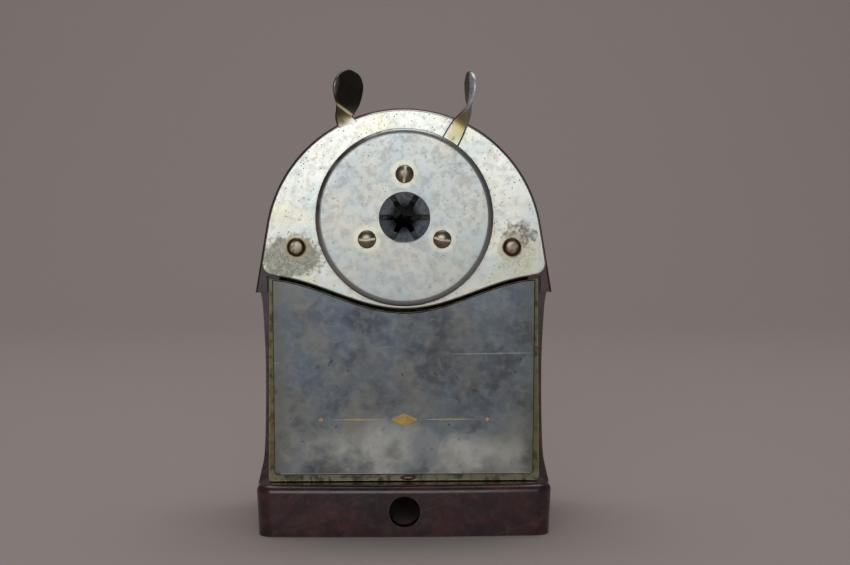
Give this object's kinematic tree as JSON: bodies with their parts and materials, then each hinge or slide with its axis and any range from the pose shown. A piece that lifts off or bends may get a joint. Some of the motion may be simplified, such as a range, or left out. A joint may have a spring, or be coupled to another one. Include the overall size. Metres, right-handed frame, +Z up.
{
  "type": "pencil sharpener",
  "caption": "Crank desk pencil sharpener: arched moulded housing, metal front plate with finger levers, jaw chuck, geared milling cutter and a shavings drawer.",
  "frame": {"origin": "centre of the bounding box on the desk, Z = 0 at the foot of the base", "axes": "+Z up, -Y is the front where the pencil goes in, +Y is the crank side, +X to the right seen from the front"},
  "size_m": [0.0746, 0.0847, 0.1169],
  "materials": {
    "bakelite": "glossy dark red-brown moulding with faint marbling",
    "bright_nickel": "worn bright nickel plate with specks",
    "dull_nickel": "greyed nickel plate with bluish and warm blotches",
    "tarnished_nickel": "dark blue-grey tarnish with scratches",
    "drawer_sheet": "yellowed plated sheet steel",
    "blued_steel": "blued hardened steel",
    "tool_steel": "ground tool steel",
    "brass": "turned brass",
    "zinc_casting": "raw grey die casting",
    "spring_steel": "drawn spring wire",
    "knob_wood": "dark lacquered turned wood"
  },
  "bodies": {
    "root": {"housing": "bakelite", "mechanism_frame": "zinc_casting", "ring_gear": "tool_steel", "bearing_bush": "brass", "frame_screw_1": "dull_nickel", "frame_screw_2": "dull_nickel", "frame_screw_3": "dull_nickel", "guide_bush_left": "brass", "guide_bush_right": "brass", "feed_spring_left": "spring_steel", "feed_spring_right": "spring_steel"},
    "carriage": {"front_plate": "bright_nickel", "chuck_body": "zinc_casting", "chuck_cover": "dull_nickel", "cover_screw_1": "dull_nickel", "cover_screw_2": "dull_nickel", "cover_screw_3": "dull_nickel", "jaw_guide_pin_1": "tool_steel", "jaw_guide_pin_2": "tool_steel", "jaw_guide_pin_3": "tool_steel", "guide_rod_left": "dull_nickel", "guide_rod_right": "dull_nickel", "rod_nut_left": "dull_nickel", "rod_nut_right": "dull_nickel", "lever_spring": "spring_steel"},
    "chuck_lever": {"cam_ring": "bright_nickel"},
    "jaw_1": {"jaw_1": "blued_steel"},
    "jaw_2": {"jaw_2": "blued_steel"},
    "jaw_3": {"jaw_3": "blued_steel"},
    "jaw_4": {"jaw_4": "blued_steel"},
    "jaw_5": {"jaw_5": "blued_steel"},
    "jaw_6": {"jaw_6": "blued_steel"},
    "drawer": {"drawer_box": "drawer_sheet", "drawer_front": "tarnished_nickel"},
    "crank": {"cutter_carrier": "zinc_casting", "cutter_axle": "tool_steel", "crank_arm": "bright_nickel", "crank_nut": "bright_nickel", "knob_pin": "bright_nickel"},
    "cutter": {"milling_cutter": "tool_steel", "cutter_pinion": "tool_steel"},
    "knob": {"crank_knob": "knob_wood"}
  },
  "joints": [
    {"name": "carriage_feed", "type": "slide", "parent": "root", "child": "carriage", "axis": [0, -1, 0], "range_m": [0, 0.022], "stiffness_N_per_m": 120, "springref_m": -0.01, "deforming": ["feed_spring_left", "feed_spring_right"]},
    {"name": "chuck_lever_turn", "type": "hinge", "parent": "carriage", "child": "chuck_lever", "pos_m": [0, -0.0372, 0.08025], "axis": [0, -1, 0], "range_deg": [0, 38], "stiffness_Nm_per_rad": 0.03, "springref_deg": -17.19, "deforming": ["lever_spring"]},
    {"name": "jaw_1_slide", "type": "slide", "parent": "carriage", "child": "jaw_1", "axis": [0.866, 0, 0.5], "range_m": [0, 0.0029]},
    {"name": "jaw_2_slide", "type": "slide", "parent": "carriage", "child": "jaw_2", "axis": [0, 0, 1], "range_m": [0, 0.0029]},
    {"name": "jaw_3_slide", "type": "slide", "parent": "carriage", "child": "jaw_3", "axis": [-0.866, 0, 0.5], "range_m": [0, 0.0029]},
    {"name": "jaw_4_slide", "type": "slide", "parent": "carriage", "child": "jaw_4", "axis": [-0.866, 0, -0.5], "range_m": [0, 0.0029]},
    {"name": "jaw_5_slide", "type": "slide", "parent": "carriage", "child": "jaw_5", "axis": [0, 0, -1], "range_m": [0, 0.0029]},
    {"name": "jaw_6_slide", "type": "slide", "parent": "carriage", "child": "jaw_6", "axis": [0.866, 0, -0.5], "range_m": [0, 0.0029]},
    {"name": "drawer_slide", "type": "slide", "parent": "root", "child": "drawer", "axis": [0, -1, 0], "range_m": [0, 0.045]},
    {"name": "crank_turn", "type": "hinge", "parent": "root", "child": "crank", "pos_m": [0, 0.012, 0.08025], "axis": [0, -1, 0], "continuous": true},
    {"name": "cutter_spin", "type": "hinge", "parent": "crank", "child": "cutter", "pos_m": [0, -0.008, 0.07327], "axis": [0, -0.9799, -0.1994], "continuous": true},
    {"name": "knob_spin", "type": "hinge", "parent": "crank", "child": "knob", "pos_m": [0, 0.03, 0.04025], "axis": [0, 1, 0], "continuous": true}
  ],
  "couplings": [
    {"joint": "jaw_1_slide", "follows": "chuck_lever_turn", "m_per_rad": 0.004372},
    {"joint": "jaw_2_slide", "follows": "chuck_lever_turn", "m_per_rad": 0.004372},
    {"joint": "jaw_3_slide", "follows": "chuck_lever_turn", "m_per_rad": 0.004372},
    {"joint": "jaw_4_slide", "follows": "chuck_lever_turn", "m_per_rad": 0.004372},
    {"joint": "jaw_5_slide", "follows": "chuck_lever_turn", "m_per_rad": 0.004372},
    {"joint": "jaw_6_slide", "follows": "chuck_lever_turn", "m_per_rad": 0.004372},
    {"joint": "cutter_spin", "follows": "crank_turn", "ratio": -3.2}
  ]
}
